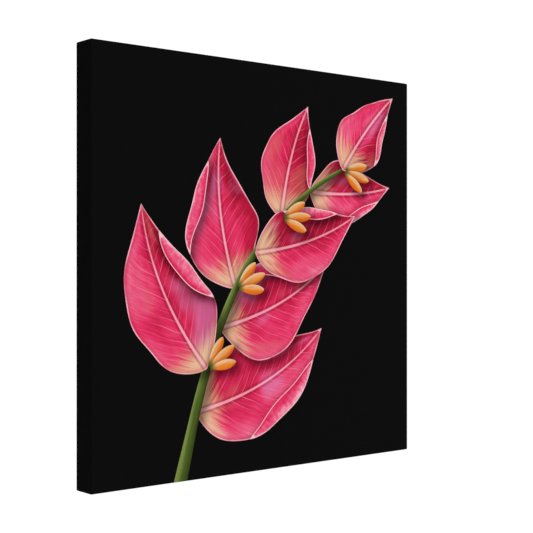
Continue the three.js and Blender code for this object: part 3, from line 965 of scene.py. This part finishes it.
def fraying(nodes, edges, threads, length, width, seed):
    """Thin bent threads along a line of edges, each set off inwards by the line's own attribute."""
    line = nodes.make("GeometryNodeMeshToCurve", edges)
    spaced = nodes.make("GeometryNodeResampleCurve", line, Count=threads, mode="COUNT")
    inward = nodes.make("GeometryNodeInputNamedAttribute", "inward", data_type="FLOAT_VECTOR")
    lie = nodes.make("FunctionNodeAlignRotationToVector", Vector=inward, axis="Z")
    least, most = (-0.5, -0.9, -3.1), (0.0, 0.9, 3.1)
    lean = nodes.make("FunctionNodeRandomValue", least, most, Seed=seed, data_type="FLOAT_VECTOR")
    turned = nodes.make("FunctionNodeRotateRotation", lie, lean, rotation_space="LOCAL")
    share = nodes.make(
        "FunctionNodeRandomValue", None, None, 0.15, 1.0, Seed=seed, data_type="FLOAT", output=1
    )
    straight = nodes.make("GeometryNodeCurvePrimitiveLine", End=nodes.join(0.0, 0.0, length))
    strand = nodes.make("GeometryNodeResampleCurve", straight, Count=6, mode="COUNT")
    placed = nodes.make(
        "GeometryNodeInstanceOnPoints", spaced, Instance=strand, Rotation=turned, Scale=share**2.0
    )
    strands = nodes.make("GeometryNodeRealizeInstances", placed)

    cloud = nodes.make("ShaderNodeTexNoise", Scale=900.0, output="Color")
    far = nodes.make("GeometryNodeSplineParameter") * length
    bend = cloud.vector("ADD", (-0.5, -0.5, -0.5)).vector("SCALE", Scale=far)
    bent = nodes.make("GeometryNodeSetPosition", strands, Offset=bend)
    x, y, z = nodes.make("GeometryNodeInputPosition").split()
    by_wall = y.maths("MINIMUM", width * -0.5)
    bent = nodes.make("GeometryNodeSetPosition", bent, Position=nodes.join(x, by_wall, z))
    section = nodes.make("GeometryNodeCurvePrimitiveCircle", Resolution=4, Radius=width * 0.5)
    return nodes.make("GeometryNodeCurveToMesh", bent, section, Fill_Caps=True)


def loose_yarn():
    """Cotton yarn, its ends stained here and there by the primer."""
    nodes = Finish("loose_yarn", Roughness=0.85, Specular_IOR_Level=0.2, Sheen_Weight=0.2)
    place = nodes.make("ShaderNodeTexCoord", output="Object")
    colour = place.noise(300).mix((214, 206, 188), (244, 240, 230))
    return nodes.coat(colour, None, place.noise(9000), 0.03 * MM)


cut_edge = places[-count:]
edge_mesh = bpy.data.meshes.new("frayed_edge")
edge_lines = [(step, (step + 1) % count) for step in range(count)]
lowered = cut_edge - np.array([0, CLOTH / 2, 0])
edge_mesh.from_pydata(lowered + np.array(MIDDLE.translation), edge_lines, [])
outermost = np.abs(cut_edge) > np.abs(cut_edge).max(1)[:, None] * 0.999  # both ways at a corner
note(edge_mesh, "inward", *np.where(outermost, -np.sign(cut_edge), 0).T)
frayed_edge = new_piece("frayed_edge", edge_mesh)
grow(frayed_edge, fraying, loose_yarn(), threads=640, length=2.6 * MM, width=0.14 * MM, seed=5)
fit(frayed_edge, "printed_canvas")

# Staples
# Six galvanised staples a side and one across each folded corner, of flat wire, shot through the canvas into
# the pine. No two sit quite alike.

STAPLE_THICK = 0.6 * MM


def stapling(nodes, points, crown, leg, width, thickness, bend):
    """A bent wire staple at each point, turned by the point's own attribute.

    It starts as a line of four points, which go to its feet and to the two ends of its crown."""
    half_thick = thickness * 0.5
    half = crown * 0.5 - half_thick
    line = nodes.make("GeometryNodeCurvePrimitiveLine")
    line = nodes.make("GeometryNodeResampleCurve", line, Count=4, mode="COUNT")
    from_middle = nodes.make("GeometryNodeInputIndex") - 1.5
    height = (abs(from_middle) < 1.0) * (leg + half_thick) - leg
    place = nodes.join(from_middle.maths("SIGN") * half, height, 0.0)
    line = nodes.make("GeometryNodeSetPosition", line, Position=place)
    rounded = nodes.make("GeometryNodeFilletCurve", line, Count=5, Radius=bend, mode="POLY")
    upright = nodes.make("GeometryNodeSetCurveNormal", rounded, mode="Z_UP")
    section = nodes.make("GeometryNodeCurvePrimitiveQuadrilateral", thickness, width)
    eased = nodes.make("GeometryNodeFilletCurve", section, Count=2, Radius=thickness * 0.2, mode="POLY")
    wire = nodes.make("GeometryNodeCurveToMesh", upright, eased, Fill_Caps=True)
    turn = nodes.make("GeometryNodeInputNamedAttribute", "turn", data_type="FLOAT_VECTOR")
    return nodes.make("GeometryNodeInstanceOnPoints", points, Instance=wire, Rotation=turn)


def galvanised_wire():
    """Zinc: grey and faintly mottled, drawn smooth, and dulled here and there."""
    nodes = Finish("galvanised_wire", Metallic=1.0)
    place = nodes.make("ShaderNodeTexCoord", output="Object")
    cloud = place.noise(700, 3)
    colour = cloud.mix((128, 132, 137), (188, 191, 195))
    scratches = place.noise(5000)
    return nodes.coat(colour, cloud * 0.25 + scratches * 0.15 + 0.2, scratches, 0.01 * MM)


staple_nodes = sorted(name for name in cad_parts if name.startswith("staple_"))
staple_places, staple_turns = [], []
for name in staple_nodes:
    low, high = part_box(name)
    solid = read(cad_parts[name].data.vertices, "co", 3)[:, [0, 2]]
    run_x, run_z = np.linalg.svd(solid - solid.mean(0))[2][0]
    staple_places.append(((low.x + high.x) / 2, high.y - STAPLE_THICK, (low.z + high.z) / 2))
    staple_turns.append(math.atan2(-run_z, run_x))
staple_mesh = bpy.data.meshes.new("wire_staples")
staple_mesh.from_pydata(staple_places, [], [])
note(staple_mesh, "turn", 0, staple_turns, 0)
wire_staples = new_piece("wire_staples", staple_mesh)
grow(
    wire_staples,
    stapling,
    galvanised_wire(),
    crown=10 * MM,
    leg=6 * MM,
    width=1.2 * MM,
    thickness=STAPLE_THICK,
    bend=0.9 * MM,
)
fit(wire_staples, "staple_wire", *staple_nodes)

# Sawtooth hanger
# A stamped strip of brass-plated steel, cranked to stand off the wood, with nine teeth along its lower edge
# and a wire nail through each foot. The plating is thin on the edges, where the steel shows through.

HANGER_EDGE = 0.12 * MM
NAIL_SHANK = 0.65 * MM  # its radius
NAIL_HEAD_THICK = 0.7 * MM
NAIL_SIDES = 36


def brass_plate(name, dull, bright, wear):
    """Brass plating over rolled steel, with lines along the strip, clouds of tarnish and small bare spots."""
    nodes = Finish(name, Metallic=1.0)
    place = nodes.make("ShaderNodeTexCoord", output="Object")
    lines = place.noise((60, 6000, 6000), 3)
    cloud = place.noise(260, 4, 0.6)
    colour = cloud.rise(0.3, 0.6).mix(dull, bright)
    spots = place.noise(1500).rise(0.62 - wear, 0.72 - wear)
    colour = (spots * 0.7).mix(colour, (178, 174, 166))
    return nodes.coat(colour, lines * 0.2 + cloud * 0.08 + 0.17, lines, 0.01 * MM)


plated = brass_plate("brass_plate", (182, 146, 80), (214, 180, 108), 0.0)
worn = brass_plate("worn_brass_edge", (200, 172, 118), (228, 208, 162), 0.14)
hanger = shaped("sawtooth_hanger", "brass_hanger", HANGER_EDGE, [plated, worn])
fit(hanger, "brassed_steel", "sawtooth_hanger")


def nail(name, node):
    """A round wire nail turned about its own line: a low domed head with a flat, and a cut point."""
    low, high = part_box(node)
    middle = (low + high) / 2
    head = (high.x - low.x) / 2
    seat = high.y - NAIL_HEAD_THICK
    outline = [
        (0.25 * NAIL_SHANK, low.y + 0.3 * MM),
        (NAIL_SHANK, low.y + 1.6 * MM),
        (NAIL_SHANK, seat - 0.2 * MM),
        (NAIL_SHANK + 0.1 * MM, seat),
        (head - 0.12 * MM, seat),
        (head, seat + 0.1 * MM),
        (head, seat + 0.3 * MM),
        (head - 0.2 * MM, seat + 0.5 * MM),
        (0.62 * head, high.y),
    ]
    places = [(middle.x, low.y, middle.z), (middle.x, high.y, middle.z)]  # its two ends
    rings = []
    for radius, y in outline:
        rings.append(list(range(len(places), len(places) + NAIL_SIDES)))
        for angle in np.arange(NAIL_SIDES) / NAIL_SIDES * 2 * math.pi:
            places.append((middle.x + radius * math.cos(angle), y, middle.z + radius * math.sin(angle)))
    first, last = rings[0], rings[-1]
    faces = [(0, *pair) for pair in zip(first, first[1:] + first[:1])]
    faces += [(1, *pair) for pair in zip(last[1:] + last[:1], last)]
    for ring, after in zip(rings, rings[1:]):
        faces += band(after, ring)
    mesh = bpy.data.meshes.new(name)
    mesh.from_pydata(places, [], faces)
    smooth_shaded(mesh, ROUND_SHARP)
    return new_piece(name, mesh, plated)


for number in (1, 2):
    fit(nail(f"brass_nail_{number}", f"hanger_nail_{number}"), "brassed_steel", f"hanger_nail_{number}")

# Floor, light and camera
# The picture hangs clear of a white floor in even studio light. The camera stands level with its middle,
# to the left, and takes in the whole face and the left side.

FLOOR_BELOW = 1.3
FLOOR_RADIUS = 4.0
CAMERA_TURN = math.radians(-39.58)  # round from straight in front, to the left
CAMERA_AWAY = 0.873
CAMERA_ASIDE = -0.15 * MM
LENS = 78.56  # millimetres
SENSOR = 36
AIR_SEEN = 1.04  # how bright the camera sees the air, whatever light it gives

face_middle = Vector((0, FRONT, MIDDLE.translation.z))
work = bmesh.new()
bmesh.ops.create_circle(work, cap_ends=True, segments=96, radius=FLOOR_RADIUS)
work.transform(Matrix.Translation((0, 0, face_middle.z - FLOOR_BELOW)))
white = Finish(
    "white_floor",
    Base_Color=(0.9, 0.9, 0.9, 1),
    Roughness=0.9,
    Specular_IOR_Level=0.1,
    Emission_Color=(1, 1, 1, 1),
    Emission_Strength=0.45,
)
new_piece("floor", mesh_of(work, "floor"), white.material)

world = bpy.data.worlds.new("studio")
bpy.context.scene.world = world
world.use_nodes = True
air = Nodes(world.node_tree)
to_right, _, upward = air.make("ShaderNodeTexCoord", output="Generated").split()
light = to_right * 0.22 + upward * 0.1 + 0.49
backdrop = air.make("ShaderNodeLightPath", output="Is Camera Ray")
air.set(air.tree.nodes["Background"], Color=light + backdrop * (AIR_SEEN - light))


def aimed(name, data, place, way):
    """A light or camera at a place, that looks along a way."""
    made = new_piece(name, data)
    made.location = place
    made.rotation_euler = way.to_track_quat("-Z", "Y").to_euler()
    return made


def panel(name, place, size, power):
    """A square soft light that faces the picture."""
    light = bpy.data.lights.new(name, "AREA")
    light.size = size
    light.energy = power
    aimed(name, light, place, face_middle - Vector(place)).visible_camera = False


panel("key light", (0.2, -2.1, 0.9), 1.4, 24.5)
panel("back light", (0.5, 2.0, 1.2), 1.4, 30)

camera_data = bpy.data.cameras.new("camera")
camera_data.lens = LENS
camera_data.sensor_width = SENSOR
camera_data.clip_start = 0.05
way_back = Vector((math.sin(CAMERA_TURN), -math.cos(CAMERA_TURN), 0))
camera_place = face_middle + way_back * CAMERA_AWAY + way_back.cross((0, 0, -1)) * CAMERA_ASIDE
bpy.context.scene.camera = aimed("camera", camera_data, camera_place, -way_back)
bpy.context.scene.view_settings.view_transform = "Standard"
